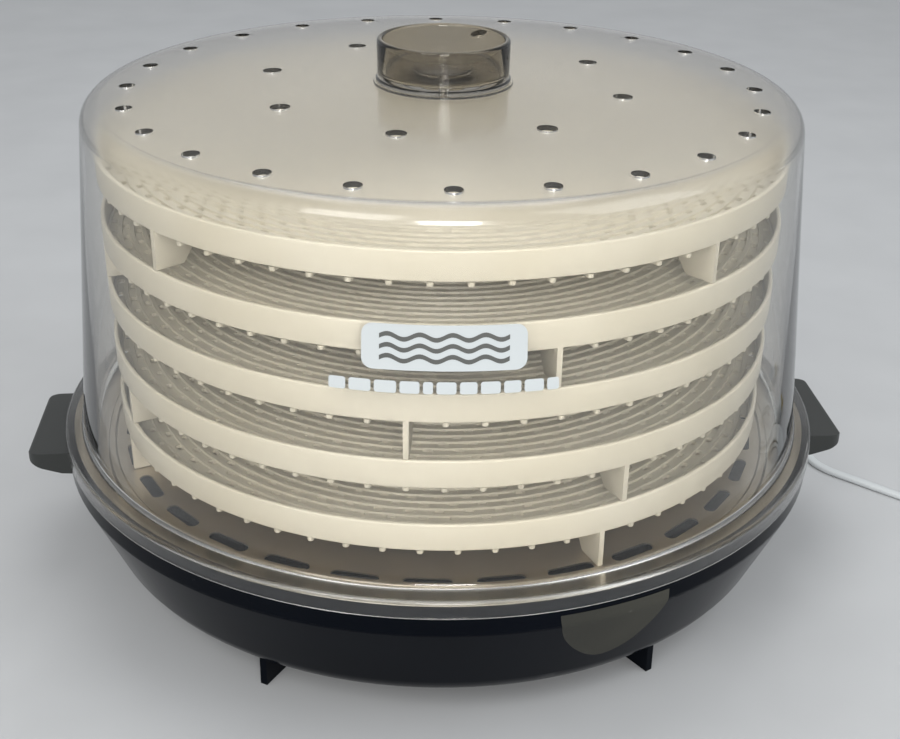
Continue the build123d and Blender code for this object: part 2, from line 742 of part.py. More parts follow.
# ---------------------------------------------------------------- trays
def arc_slot(radius, span):
    """A curved slot in the floor, centred on +X; span is its angle in degrees."""
    half = tray_slot_width / 2
    a = math.radians(span / 2)
    inner, outer = radius - half, radius + half
    low_in, low_out = (inner * math.cos(a), -inner * math.sin(a)), (outer * math.cos(a), -outer * math.sin(a))
    high_in, high_out = (inner * math.cos(a), inner * math.sin(a)), (outer * math.cos(a), outer * math.sin(a))
    return make_face([
        Line(low_in, low_out), ThreePointArc(low_out, (outer, 0), high_out),
        Line(high_out, high_in), ThreePointArc(high_in, (inner, 0), low_in),
    ])


def tray_slots():
    """Rows of curved slots, each row turned half a step from the next."""
    step = (tray_radius - tray_slot_edge - tray_slot_inner_radius) / (tray_slot_rows - 1)
    pitch = 360.0 / tray_rib_count
    faces = []
    for row in range(tray_slot_rows):
        radius = tray_slot_inner_radius + row * step
        count = tray_rib_count // 2 if row < tray_slot_rows // 2 else tray_rib_count
        span = 360.0 / count - math.degrees(tray_bridge_width / radius)
        faces += ring_of(arc_slot(radius, span), count, pitch / 2)
    return faces


def make_tray_pieces():
    """A tray's rim, floor and legs, with the rim's lower edge at height 0 and the first leg on +X."""
    floor_bottom = tray_floor_top - tray_floor_thickness
    inner = tray_radius - tray_rim_wall
    outline = [(inner, floor_bottom), (tray_radius, 0), (tray_radius, tray_rim_height),
               (inner, tray_rim_height)]
    rim = turned(outline, {2: 0.9, 3: 0.6})
    floor = Pos(0, 0, floor_bottom) * extrude(Circle(inner) - tray_slots(), tray_floor_thickness)
    rib = block((tray_hub_radius, tray_radius - tray_rib_setback), (-tray_rib_width / 2, tray_rib_width / 2),
                (-tray_rib_drop, floor_bottom))
    hub = upright(2 * tray_hub_radius + 2, -tray_rib_drop, floor_bottom)
    floor += [hub] + ring_of(rib, tray_rib_count)
    foot = tray_radius - tray_leg_foot
    leg = profile([(foot - tray_leg_slope, -tray_rib_drop), (foot, -tray_sole_drop),
                   (tray_radius, -tray_sole_drop), (tray_radius, -tray_rib_drop)])
    leg = extrude(leg, tray_leg_thickness / 2, both=True)
    return {"rim": rim, "floor": floor, "legs": ring_of(leg, tray_leg_count)}


# ---------------------------------------------------------------- cover
def cover_faces():
    """The dome's half section, outer and inner outline in one closed face."""
    wall = cover_wall
    shoulder = (cover_shoulder_radius, cover_top_height - cover_crown_drop)
    foot = (cover_foot_radius, cover_foot_height)
    halfway = (shoulder[0] / 2, cover_top_height - cover_crown_drop / 4)
    crown = ThreePointArc((0, cover_top_height), halfway, shoulder)
    outside = Polyline(shoulder, foot, (cover_skirt_outer, cover_flange_top),
                       (cover_skirt_outer, cover_skirt_bottom), (cover_skirt_inner, cover_skirt_bottom),
                       (cover_skirt_inner, cover_seat_height), (foot[0] - wall, cover_seat_height),
                       (shoulder[0] - wall, shoulder[1] - wall))
    ceiling = ThreePointArc((shoulder[0] - wall, shoulder[1] - wall),
                            (halfway[0], halfway[1] - wall),
                            (0, cover_top_height - wall))
    face = make_face([crown, outside, ceiling, Line((0, cover_top_height - wall), (0, cover_top_height))])
    rounds = [(shoulder, cover_corner_round), (foot, 3.0), ((cover_skirt_outer, cover_flange_top), 2.2),
              ((shoulder[0] - wall, shoulder[1] - wall), cover_corner_round - wall)]
    for (x, z), radius in rounds:
        corner = face.vertices().sort_by_distance(Vector(x, z, 0))[0]
        face = fillet([corner], radius)
    return Plane.XZ * face


def make_cover_dome():
    dome = revolve(cover_faces(), Axis.Z)
    dome += upright(2 * cover_pad_radius, cover_top_height - 1, knob_seat_height)
    ceiling = cover_top_height - cover_wall
    dome += upright(washer_diameter + 2 * cover_boss_margin, ceiling - cover_boss_rise, ceiling + 1)
    low, high = ceiling - 12, cover_top_height + 2
    outer = upright(vent_outer_diameter, low, high, vent_outer_ring_radius)
    inner = upright(vent_inner_diameter, low, high, vent_inner_ring_radius)
    dome -= ring_of(outer, vent_outer_count, -90.0 + cover_turn)
    dome -= ring_of(inner, vent_inner_count, -90.0 + cover_turn - 15.0)
    return dome - upright(screw_diameter + screw_hole_clearance, low, high)


def make_cover_knob():
    base = knob_seat_height
    top = base + knob_height
    lean = (knob_base_radius - knob_top_radius) / knob_height
    floor_top = base + knob_floor
    boss_top = floor_top + knob_boss_rise
    points = [
        (0, base), (knob_base_radius, base), (knob_top_radius, top), (knob_top_radius - knob_wall, top),
        (knob_base_radius - knob_wall - lean * knob_floor, floor_top), (knob_boss_radius, floor_top),
        (knob_boss_radius, boss_top), (0, boss_top),
    ]
    cup = turned(points, {2: 1.3, 3: 1.2, 4: 2.0, 6: 0.8})
    return cup - upright(screw_diameter, base - 1, base + knob_pilot_depth)


def make_knob_washer():
    disc = upright(washer_diameter, knob_washer_top - washer_thickness, knob_washer_top)
    return disc - upright(screw_diameter + screw_hole_clearance, knob_washer_top - 3, knob_washer_top + 1)


def make_knob_screw():
    seat = knob_washer_top - washer_thickness
    length = knob_seat_height + knob_pilot_depth - 0.5 - seat
    return Pos(0, 0, seat) * pan_screw(length)


# ---------------------------------------------------------------- output
def collected(shapes):
    """One shape for a node; separate solids stay separate in it."""
    solids = []
    for shape in shapes if isinstance(shapes, list) else [shapes]:
        solids += shape.solids()
    return solids[0] if len(solids) == 1 else Compound(children=solids)


def build_all():
    nodes = {
        "base_pan": make_base_pan(),
        "deck_plate": make_deck_plate(),
        "deck_screws": make_deck_screws(),
        "handle_left": make_handle(-1),
        "handle_right": make_handle(1),
        "handle_screws": make_handle_screws(),
        "motor_stack": make_motor_stack(),
        "motor_coil": make_motor_coil(),
        "motor_bracket_lower": make_motor_bracket(False),
        "motor_bracket_upper": make_motor_bracket(True),
        "motor_screws": make_motor_screws(),
        "motor_rotor": make_motor_rotor(),
        "motor_shaft": make_motor_shaft(),
        "fan_impeller": make_fan_impeller(),
        "heater_element": make_heater_element(),
        "heater_supports": make_heater_supports(),
        "terminal_block": make_terminal_block(),
        "thermal_cutout": make_thermal_cutout(),
        "internal_wiring": make_internal_wiring(),
        "cord_strain_relief": make_cord_strain_relief(),
        "cord_tube": make_cord_tube(),
        "cord_coil": make_cord_coil(),
        "plug_body": make_plug_body(),
        "plug_blades": make_plug_blades(),
        "cover_dome": make_cover_dome(),
        "cover_knob": make_cover_knob(),
        "knob_washer": make_knob_washer(),
        "knob_screw": make_knob_screw(),
    }
    tray = make_tray_pieces()
    for number in range(1, tray_count + 1):
        turn = tray_turns[(number - 1) % len(tray_turns)]
        place = Pos(0, 0, first_rim_bottom + (number - 1) * tray_pitch) * Rot(0, 0, -90.0 + turn)
        nodes[f"tray_{number}_rim"] = place * tray["rim"]
        nodes[f"tray_{number}_floor"] = place * tray["floor"]
        nodes[f"tray_{number}_legs"] = [place * leg for leg in tray["legs"]]
    return nodes


os.makedirs("parts", exist_ok=True)
for name, shape in build_all().items():
    export_step(collected(shape), f"parts/{name}.step")
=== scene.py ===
# %% [markdown]
# # A stacking food dehydrator
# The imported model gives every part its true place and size, in metres. The camera and the mains cord
# come first, and then each piece is shaped with mesh operators and given a finish made of shader nodes.

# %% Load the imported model
import json
import math
import bpy
import bmesh
from mathutils import Matrix, Vector


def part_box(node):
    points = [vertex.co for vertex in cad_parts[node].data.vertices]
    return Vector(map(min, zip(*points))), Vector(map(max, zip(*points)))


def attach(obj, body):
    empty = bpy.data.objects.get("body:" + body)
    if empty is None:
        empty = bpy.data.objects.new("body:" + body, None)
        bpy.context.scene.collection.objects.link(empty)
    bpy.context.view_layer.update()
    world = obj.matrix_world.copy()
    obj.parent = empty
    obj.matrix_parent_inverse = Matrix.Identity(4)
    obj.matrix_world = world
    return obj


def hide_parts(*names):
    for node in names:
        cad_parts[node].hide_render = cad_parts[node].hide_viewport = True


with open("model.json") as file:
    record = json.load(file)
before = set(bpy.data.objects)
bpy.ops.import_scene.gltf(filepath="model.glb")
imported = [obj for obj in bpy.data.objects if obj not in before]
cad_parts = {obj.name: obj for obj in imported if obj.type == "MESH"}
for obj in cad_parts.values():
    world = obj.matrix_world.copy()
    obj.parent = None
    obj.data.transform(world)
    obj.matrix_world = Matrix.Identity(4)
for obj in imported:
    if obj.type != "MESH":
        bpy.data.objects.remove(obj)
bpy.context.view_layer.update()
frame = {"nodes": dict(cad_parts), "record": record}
MM = 0.001

# %% [markdown]
# ## Camera
# The appliance is seen from a little above, the way a person standing at the table sees it. A long lens
# keeps the round shapes calm. The camera is turned in three steps: first rolled a little about its own
# axis, then tilted down, and then turned about the vertical.

# %% Place the camera
camera_data = bpy.data.cameras.new("camera")
camera_data.lens = 57.01
camera_data.sensor_width = 36.0
camera = bpy.data.objects.new("camera", camera_data)
bpy.context.scene.collection.objects.link(camera)
camera.matrix_world = (Matrix.Translation((-0.0512, -0.6872, 0.4283))
                       @ Matrix.Rotation(math.radians(-4.73), 4, "Z")
                       @ Matrix.Rotation(math.radians(90.0 - 26.015), 4, "X")
                       @ Matrix.Rotation(math.radians(0.943), 4, "Z"))
bpy.context.scene.camera = camera
print("camera looks along", [round(c, 3) for c in camera.matrix_world.to_3x3() @ Vector((0, 0, -1))])

# %% [markdown]
# ## Building blocks
# Most pieces here are round, so the main tool is the lathe: an outline of radius and height is drawn once
# and spun about the vertical axis. A few short helpers turn a bmesh into an object and copy a shape
# round the axis. Each object stays at the origin, with its place in its mesh.

# %% Helpers for meshes
def finish_piece(bm, name, smooth_angle=35.0):
    """Turns a bmesh into an object at the origin, smooth-shaded except across sharp edges."""
    mesh = bpy.data.meshes.new(name)
    bm.to_mesh(mesh)
    bm.free()
    mesh.shade_smooth()
    mesh.set_sharp_from_angle(angle=math.radians(smooth_angle))
    piece = bpy.data.objects.new(name, mesh)
    bpy.context.scene.collection.objects.link(piece)
    print(name, "faces", len(mesh.polygons))
    return piece


def rounded(points, rounds, segments=5):
    """An outline in which each numbered corner is replaced by an arc of its radius."""
    result = []
    for number, point in enumerate(points):
        radius = rounds.get(number)
        if not radius:
            result.append(Vector(point))
            continue
        here = Vector(point)
        before = (Vector(points[number - 1]) - here).normalized()
        after = (Vector(points[(number + 1) % len(points)]) - here).normalized()
        half = before.angle(after) / 2
        centre = here + (before + after).normalized() * (radius / math.sin(half))
        start = here + before * (radius / math.tan(half)) - centre
        sweep = start.angle_signed(here + after * (radius / math.tan(half)) - centre)
        for step in range(segments + 1):
            turn = Matrix.Rotation(-sweep * step / segments, 2)
            result.append(centre + turn @ start)
    return result


def lathe(bm, outline, steps=192, closed=True):
    """Spins an outline of (radius, height) in millimetres about Z. A closed one makes a ring or a bowl."""
    rim = [bm.verts.new((r * MM, 0, z * MM)) for r, z in outline]
    pairs = list(zip(rim, rim[1:] + rim[:1])) if closed else list(zip(rim, rim[1:]))
    edges = [bm.edges.new(pair) for pair in pairs]
    bmesh.ops.spin(bm, geom=rim + edges, cent=(0, 0, 0), axis=(0, 0, 1), angle=math.tau, steps=steps,
                   use_merge=True)
    bmesh.ops.remove_doubles(bm, verts=bm.verts, dist=1e-6)
    bmesh.ops.dissolve_degenerate(bm, edges=bm.edges, dist=1e-7)
    bmesh.ops.recalc_face_normals(bm, faces=bm.faces)


def copy_round(bm, geom, count, start=0.0):
    """Repeats some geometry evenly about Z, and turns the first copy to the start angle, in degrees."""
    verts = [g for g in geom if isinstance(g, bmesh.types.BMVert)]
    bmesh.ops.rotate(bm, verts=verts, cent=(0, 0, 0), matrix=Matrix.Rotation(math.radians(start), 3, "Z"))
    if count > 1:
        bmesh.ops.spin(bm, geom=geom, cent=(0, 0, 0), axis=(0, 0, 1), use_duplicate=True,
                       angle=math.tau * (count - 1) / count, steps=count - 1)


def dress(piece, body, material, replaced=()):
    """Puts a new piece on its body, gives it its finish and hides the CAD nodes it stands for."""
    piece.data.materials.append(material)
    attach(piece, body)
    if replaced:
        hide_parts(*replaced)
    return piece


# %% [markdown]
# ## Finishes
# Real plastic and metal are never one flat colour. Three small node groups add what all of them share:
# a slow drift of tone, a fine grain that catches the light, and dust with little scuffs. Each material
# places the groups it needs with its own values. The groups give out masks and heights, and the shader
# itself stays in the material.

# %% Shared node groups
def new_group(name, inputs, outputs):
    """An empty shader node group with float inputs (name, default) and named float outputs."""
    group = bpy.data.node_groups.new(name, "ShaderNodeTree")
    for title, value in inputs:
        socket = group.interface.new_socket(title, in_out="INPUT", socket_type="NodeSocketFloat")
        socket.default_value = value
    for title in outputs:
        group.interface.new_socket(title, in_out="OUTPUT", socket_type="NodeSocketFloat")
    return group, group.nodes.new("NodeGroupInput"), group.nodes.new("NodeGroupOutput")


def noise(tree, scale, detail=3.0, rough=0.55):
    """A noise texture on Object coordinates; its scale may be a number or another node's output."""
    place = tree.nodes.new("ShaderNodeTexCoord")
    texture = tree.nodes.new("ShaderNodeTexNoise")
    tree.links.new(place.outputs["Object"], texture.inputs["Vector"])
    texture.inputs["Detail"].default_value = detail
    texture.inputs["Roughness"].default_value = rough
    if isinstance(scale, (int, float)):
        texture.inputs["Scale"].default_value = scale
    else:
        tree.links.new(scale, texture.inputs["Scale"])
    return texture.outputs["Fac"]


def remap(tree, value, low, high, to_low=0.0, to_high=1.0):
    """Stretches a value from one range to another, clamped."""
    node = tree.nodes.new("ShaderNodeMapRange")
    tree.links.new(value, node.inputs["Value"])
    for title, number in (("From Min", low), ("From Max", high), ("To Min", to_low), ("To Max", to_high)):
        node.inputs[title].default_value = number
    return node.outputs["Result"]


def make_drift_group():
    """Slow, cloudy change of tone over a moulding."""
    group, inlet, outlet = new_group("tone_drift", [("Scale", 18.0)], ["Mask"])
    cloud = noise(group, inlet.outputs["Scale"], 2.0, 0.5)
    group.links.new(remap(group, cloud, 0.3, 0.7), outlet.inputs["Mask"])
    return group


def make_grain_group():
    """Fine moulding grain, as a height."""
    group, inlet, outlet = new_group("fine_grain", [("Scale", 1400.0)], ["Height"])
    group.links.new(noise(group, inlet.outputs["Scale"], 2.0, 0.6), outlet.inputs["Height"])
    return group


def make_scuff_group():
    """Sparse specks and short scuffs, as a mask."""
    group, inlet, outlet = new_group("specks_and_scuffs", [("Scale", 260.0), ("Amount", 0.5)], ["Mask"])
    speck = remap(group, noise(group, inlet.outputs["Scale"], 5.0, 0.75), 0.62, 0.74)
    patch = remap(group, noise(group, 11.0, 3.0, 0.6), 0.42, 0.66)
    both = group.nodes.new("ShaderNodeMath")
    both.operation = "MULTIPLY"
    group.links.new(speck, both.inputs[0])
    group.links.new(patch, both.inputs[1])
    scaled = group.nodes.new("ShaderNodeMath")
    scaled.operation = "MULTIPLY"
    group.links.new(both.outputs[0], scaled.inputs[0])
    group.links.new(inlet.outputs["Amount"], scaled.inputs[1])
    group.links.new(scaled.outputs[0], outlet.inputs["Mask"])
    return group


drift_group = make_drift_group()
grain_group = make_grain_group()
scuff_group = make_scuff_group()
print("node groups", [g.name for g in bpy.data.node_groups])

# %% Helpers for materials
def use_group(tree, group, **values):
    """Places a node group and sets its inputs."""
    node = tree.nodes.new("ShaderNodeGroup")
    node.node_tree = group
    for title, value in values.items():
        node.inputs[title].default_value = value
    return node.outputs[0]


def blend_colours(tree, mask, first, second):
    """Mixes two colours, or a colour output and a colour, by a mask."""
    node = tree.nodes.new("ShaderNodeMix")
    node.data_type = "RGBA"
    tree.links.new(mask, node.inputs["Factor"])
    for socket, colour in ((node.inputs[6], first), (node.inputs[7], second)):
        if isinstance(colour, tuple):
            socket.default_value = (*colour, 1.0)
        else:
            tree.links.new(colour, socket)
    return node.outputs[2]


def bump_from(tree, height, strength, distance, shader):
    """Turns a height into a normal for the shader."""
    node = tree.nodes.new("ShaderNodeBump")
    node.inputs["Strength"].default_value = strength
    node.inputs["Distance"].default_value = distance
    tree.links.new(height, node.inputs["Height"])
    tree.links.new(node.outputs["Normal"], shader.inputs["Normal"])


def new_material(name):
    """A material with its Principled shader, and the two as (material, tree, shader)."""
    material = bpy.data.materials.new(name)
    material.use_nodes = True
    tree = material.node_tree
    return material, tree, tree.nodes["Principled BSDF"]


def plastic(name, colour, shade, roughness, grain=0.12, scuffs=0.4, scuff_colour=(0.6, 0.6, 0.58),
            specular=0.5):
    """A moulded plastic: two close tones, a grain, and specks that are lighter and rougher."""
    material, tree, shader = new_material(name)
    tone = blend_colours(tree, use_group(tree, drift_group, Scale=14.0), colour, shade)
    scuff = use_group(tree, scuff_group, Scale=320.0, Amount=scuffs)
    tree.links.new(blend_colours(tree, scuff, tone, scuff_colour), shader.inputs["Base Color"])
    rough = remap(tree, scuff, 0.0, 1.0, roughness, min(1.0, roughness + 0.35))
    tree.links.new(rough, shader.inputs["Roughness"])
    shader.inputs["Specular IOR Level"].default_value = specular
    bump_from(tree, use_group(tree, grain_group, Scale=1500.0), grain, 0.0004, shader)
    return material


def metal(name, colour, shade, roughness, scratches=0.15):
    """A bare metal: two tones, uneven polish and a faint rolled grain."""
    material, tree, shader = new_material(name)
    drift = use_group(tree, drift_group, Scale=26.0)
    tree.links.new(blend_colours(tree, drift, colour, shade), shader.inputs["Base Color"])
    tree.links.new(remap(tree, drift, 0.0, 1.0, roughness, roughness + 0.12), shader.inputs["Roughness"])
    shader.inputs["Metallic"].default_value = 1.0
    bump_from(tree, use_group(tree, grain_group, Scale=900.0), scratches, 0.0002, shader)
    return material

# %% [markdown]
# ## The mains cord
# A light twin cord, flat, 5.6 mm wide, leaves the pan low down behind the right handle. It drops to the
# table, runs out to the right and is wound up in a neat flat coil, with its plug beside it. A cord is a
# fixed length that bends smoothly, so its middle line is a NURBS curve with a few given points.
# The coil's turns are more points of the same curve: four turns inwards on the table, and four outwards
# on top of them.

# %% Route of the cord
def by_angle(radius, angle, height):
    """A point by radius and angle, in metres, about the pan's axis."""
    turn = math.radians(angle)
    return (radius * math.cos(turn), radius * math.sin(turn), height)


ENTRY_ANGLE = 27.0
SLEEVE_END = 0.2105
cord_points = [
    by_angle(SLEEVE_END, ENTRY_ANGLE, 0.030),
    by_angle(SLEEVE_END + 0.020, ENTRY_ANGLE, 0.030),
    (0.2240, 0.1040, 0.0220),
    (0.2360, 0.0920, 0.0090),
    (0.2380, 0.0750, 0.0017),
    (0.2295, 0.0590, 0.0017),
    (0.2330, 0.0400, 0.0017),
    (0.2500, 0.0240, 0.0017),
    (0.2660, 0.0086, 0.0017),
    (0.2820, -0.0062, 0.0017),
]
CORD_WIDTH = 0.0056
CORD_THICKNESS = 0.0030
coil_low, coil_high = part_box("cord_coil")
coil_middle = (coil_low + coil_high) / 2
outer_turn = (coil_high.x - coil_low.x) / 2 - CORD_WIDTH / 2
START_ANGLE = 226.0
POINTS_PER_TURN = 16
turn_radii = [outer_turn - CORD_WIDTH * i for i in (0, 1, 2, 3, 3, 2, 1, 0)]
turn_heights = [0.0017] * 4 + [0.0017 + 0.0048] * 4


def eased(values, turns):
    """The value at a number of turns, stepping over to the next one in the last quarter of each turn."""
    whole = min(int(turns), len(values) - 1)
    following = min(whole + 1, len(values) - 1)
    share = max(0.0, (turns - whole - 0.75) / 0.25)
    share = share * share * (3 - 2 * share)
    return values[whole] * (1 - share) + values[following] * share


total_turns = len(turn_radii) + (360.0 - START_ANGLE) / 360.0
for step in range(int(total_turns * POINTS_PER_TURN) + 1):
    turns = step / POINTS_PER_TURN
    angle = math.radians(START_ANGLE + 360.0 * turns)
    radius = eased(turn_radii, turns)
    cord_points.append((coil_middle.x + radius * math.cos(angle), coil_middle.y + radius * math.sin(angle),
                        eased(turn_heights, turns)))
plug_low, plug_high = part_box("plug_body")
plug_entry = Vector(((plug_low.x + plug_high.x) / 2, plug_low.y, (plug_low.z + plug_high.z) / 2))
cord_points.append((plug_entry.x, plug_entry.y - 0.008, plug_entry.z))
cord_points.append(tuple(plug_entry + Vector((0, 0.003, 0))))
print("route points", len(cord_points))

# %% Follow the route with a smooth curve
route_curve = bpy.data.curves.new("cord_route", "CURVE")
route_curve.dimensions = "3D"
route_curve.resolution_u = 6
spline = route_curve.splines.new("NURBS")
spline.points.add(len(cord_points) - 1)
for point, place in zip(spline.points, cord_points):
    point.co = (*place, 1.0)
spline.order_u = 3
spline.use_endpoint_u = True
route_object = bpy.data.objects.new("cord_route", route_curve)
bpy.context.scene.collection.objects.link(route_object)
bpy.context.view_layer.update()
depsgraph = bpy.context.evaluated_depsgraph_get()
route_mesh = bpy.data.meshes.new_from_object(route_object.evaluated_get(depsgraph))
cord_line = [vertex.co.copy() for vertex in route_mesh.vertices]
bpy.data.objects.remove(route_object)

# %% [markdown]
# The twin cord has two round conductors side by side with a groove between them. One short section is a
# ring of vertices, and it is extruded from point to point along the line. The wide side lies flat on
# the table, so the section's own X axis stays level.

# %% Sweep the twin section along the line
def twin_section(bm, place, ahead):
    """One closed ring of the cord's section, level across and square to the way ahead."""
    across = ahead.cross(Vector((0, 0, 1))).normalized()
    upward = across.cross(ahead).normalized()
    ring = []
    for side in (1, -1):
        for angle in (-105, -60, -20, 20, 60, 105):
            turn = math.radians(angle)
            x = side * (CORD_WIDTH / 2 - CORD_THICKNESS / 2 + CORD_THICKNESS / 2 * math.cos(turn))
            y = side * CORD_THICKNESS / 2 * math.sin(turn)
            ring.append(bm.verts.new(place + across * x + upward * y))
    for first, second in zip(ring, ring[1:] + ring[:1]):
        bm.edges.new((first, second))
    return ring


bm = bmesh.new()
previous = None
for i, place in enumerate(cord_line):
    ahead = (cord_line[min(i + 1, len(cord_line) - 1)] - cord_line[max(i - 1, 0)]).normalized()
    ring = twin_section(bm, place, ahead)
    if previous:
        edges = [e for v in previous + ring for e in v.link_edges if e.other_vert(v) in set(previous + ring)]
        bmesh.ops.bridge_loops(bm, edges=list(set(edges)))
    previous = ring
bmesh.ops.holes_fill(bm, edges=[e for e in bm.edges if e.is_boundary], sides=0)
bmesh.ops.recalc_face_normals(bm, faces=bm.faces)
cord = finish_piece(bm, "mains_cord", 50.0)
cord_finish = plastic("cord_sleeve", (0.74, 0.77, 0.78), (0.66, 0.69, 0.70), 0.38, grain=0.05, scuffs=0.3,
                      scuff_colour=(0.45, 0.42, 0.38))
dress(cord, "base", cord_finish, ("cord_tube", "cord_coil"))

# %% [markdown]
# ## Cream plastic for the trays
# The trays are a warm ivory moulding, slightly yellowed, with a soft sheen. Two close tones, a fine
# grain and a few crumbs of dried food are enough: too much pattern would look like stone.

# %% Tray finish
tray_finish = plastic("tray_ivory", (0.64, 0.605, 0.515), (0.60, 0.56, 0.46), 0.40, grain=0.10, scuffs=0.4,
                      scuff_colour=(0.42, 0.33, 0.20))

# %% [markdown]
# ## Trays
# Each tray is one moulding: a thin rim, a floor of raised rings with rows of small holes between them,
# radial ribs under it whose ends show below the rim, and four thin legs that stand on the tray beneath. A
# cell of the floor is a few vertices in a radial line, spun through one pitch. Its middle face is inset,
# narrowed and given cut corners, and then deleted, which leaves a hole. Spinning copies of the cell round
# the axis makes a whole row, and every second row is turned by half a pitch.

# %% Measures of a tray, in millimetres
rim_low, rim_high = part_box("tray_1_rim")
TRAY_RADIUS = (rim_high.x - rim_low.x) / 2 / MM
RIM_HEIGHT = 13.0
RIM_WALL = 2.2
FLOOR_TOP = 1.0
FLOOR_BOTTOM = -0.6
ROW_PITCH = 5.8
FIRST_ROW = TRAY_RADIUS - 5.3
ROW_COUNT = 24
RIDGE_RISE = 0.95
RIDGE_WIDTH = 2.1
RIDGE_SLOPE = 0.3
HOLE_LENGTH = 4.8
HOLE_INSET = 0.15
HOLE_CORNER = 0.8
RIB_COUNT = 64
RIB_WIDTH = 3.0
RIB_DROP = 2.7
HUB_RADIUS = 24.0
LEG_FOOT = 14.0
LEG_SLOPE = 12.5
LEG_THICKNESS = 2.4
SOLE_DROP = 18.2
print("tray radius", round(TRAY_RADIUS, 2), "rim height", round((rim_high.z - rim_low.z) / MM, 2))


# %% One row of the pierced floor
def holes_in_row(radius):
    """Fewer holes nearer the middle, so that the bridges between them stay wide enough."""
    if radius > 84:
        return 64
    return 32 if radius > 44 else 16


def floor_row(bm, radius, number):
    """A shallow valley of the floor with its ring of holes, and half a ridge on either side of it."""
    count = holes_in_row(radius)
    half = ROW_PITCH / 2
    crest = FLOOR_TOP + RIDGE_RISE
    shoulder = half - RIDGE_WIDTH / 2
    foot = shoulder - RIDGE_SLOPE
    steps = [(radius - half, crest), (radius - shoulder, crest), (radius - foot, FLOOR_TOP),
             (radius + foot, FLOOR_TOP), (radius + shoulder, crest), (radius + half, crest)]
    line = [bm.verts.new((r * MM, 0, z * MM)) for r, z in steps]
    edges = [bm.edges.new(pair) for pair in zip(line, line[1:])]
    bmesh.ops.spin(bm, geom=line + edges, cent=(0, 0, 0), axis=(0, 0, 1), angle=math.tau / count, steps=1)
    faces = {f for v in line for f in v.link_faces}
    top = min(faces, key=lambda f: abs(f.calc_center_median().xy.length - radius * MM))
    bmesh.ops.inset_individual(bm, faces=[top], thickness=HOLE_INSET * MM)
    middle = top.calc_center_median()
    flat = Matrix.Rotation(-math.atan2(middle.y, middle.x), 4, "Z") @ Matrix.Translation(-middle)
    tangential = max((e.calc_length() for e in top.edges))
    bmesh.ops.scale(bm, verts=list(top.verts), vec=(1, min(1.0, HOLE_LENGTH * MM / tangential), 1), space=flat)
    bmesh.ops.bevel(bm, geom=list(top.verts), affect="VERTICES", offset=HOLE_CORNER * MM, segments=1,
                    profile=0.5, material=-1)
    top = min(bm.faces, key=lambda f: (f.calc_center_median() - middle).length)
    bmesh.ops.delete(bm, geom=[top], context="FACES_KEEP_BOUNDARY")
    copy_round(bm, bm.verts[:] + bm.edges[:] + bm.faces[:], count, 180.0 / count if number % 2 else 0.0)
    bmesh.ops.remove_doubles(bm, verts=bm.verts, dist=2e-6)


def add_mesh(target, source):
    """Adds one bmesh's shape to another."""
    mesh = bpy.data.meshes.new("scratch")
    source.to_mesh(mesh)
    source.free()
    target.from_mesh(mesh)
    bpy.data.meshes.remove(mesh)


def make_floor():
    """All the rows, thickened. The middle is left open, and the hub is a separate disc."""
    floor = bmesh.new()
    for number in range(ROW_COUNT):
        row = bmesh.new()
        floor_row(row, FIRST_ROW - number * ROW_PITCH, number)
        add_mesh(floor, row)
    bmesh.ops.recalc_face_normals(floor, faces=floor.faces)
    if sum(f.normal.z for f in floor.faces) < 0:
        bmesh.ops.reverse_faces(floor, faces=floor.faces)
    bmesh.ops.solidify(floor, geom=floor.faces[:], thickness=(FLOOR_TOP - FLOOR_BOTTOM) * MM)
    return floor


floor_mesh = make_floor()
print("floor faces", len(floor_mesh.faces), "height",
      [round(f(v.co.z for v in floor_mesh.verts) / MM, 2) for f in (min, max)])


# %% Rim, ribs, hub and legs
def make_rim(bm):
    inner = TRAY_RADIUS - RIM_WALL
    corners = [(inner, FLOOR_BOTTOM), (TRAY_RADIUS, 0), (TRAY_RADIUS, RIM_HEIGHT), (inner, RIM_HEIGHT)]
    lathe(bm, rounded(corners, {1: 0.6, 2: 0.9, 3: 0.7}, 3), 160)


def make_ribs(bm):
    """Round-ended bars under the floor."""
    bar = bmesh.new()
    bmesh.ops.create_cube(bar, size=1.0)
    length = TRAY_RADIUS - 0.8 - HUB_RADIUS
    depth = RIB_DROP + FLOOR_BOTTOM
    bmesh.ops.scale(bar, verts=bar.verts, vec=(length * MM, RIB_WIDTH * MM, depth * MM))
    bmesh.ops.translate(bar, verts=bar.verts, vec=((HUB_RADIUS + length / 2) * MM, 0,
                                                   (FLOOR_BOTTOM - depth / 2) * MM))
    outer = [e for e in bar.edges if all(v.co.x > (TRAY_RADIUS - 2) * MM for v in e.verts)
             and abs(e.verts[0].co.z - e.verts[1].co.z) > 1e-5]
    bmesh.ops.bevel(bar, geom=outer, affect="EDGES", offset=RIB_WIDTH * 0.42 * MM, segments=3, profile=0.5,
                    material=-1)
    lower = [e for e in bar.edges if all(v.co.z < (FLOOR_BOTTOM - depth + 0.1) * MM for v in e.verts)]
    bmesh.ops.bevel(bar, geom=lower, affect="EDGES", offset=0.5 * MM, segments=2, profile=0.5, material=-1)
    copy_round(bar, bar.verts[:] + bar.edges[:] + bar.faces[:], RIB_COUNT)
    add_mesh(bm, bar)


def make_hub(bm):
    edge = HUB_RADIUS + 1
    corners = [(0, -RIB_DROP), (edge, -RIB_DROP), (edge, FLOOR_TOP), (0, FLOOR_TOP)]
    lathe(bm, rounded(corners, {2: 0.4}, 2), 64)


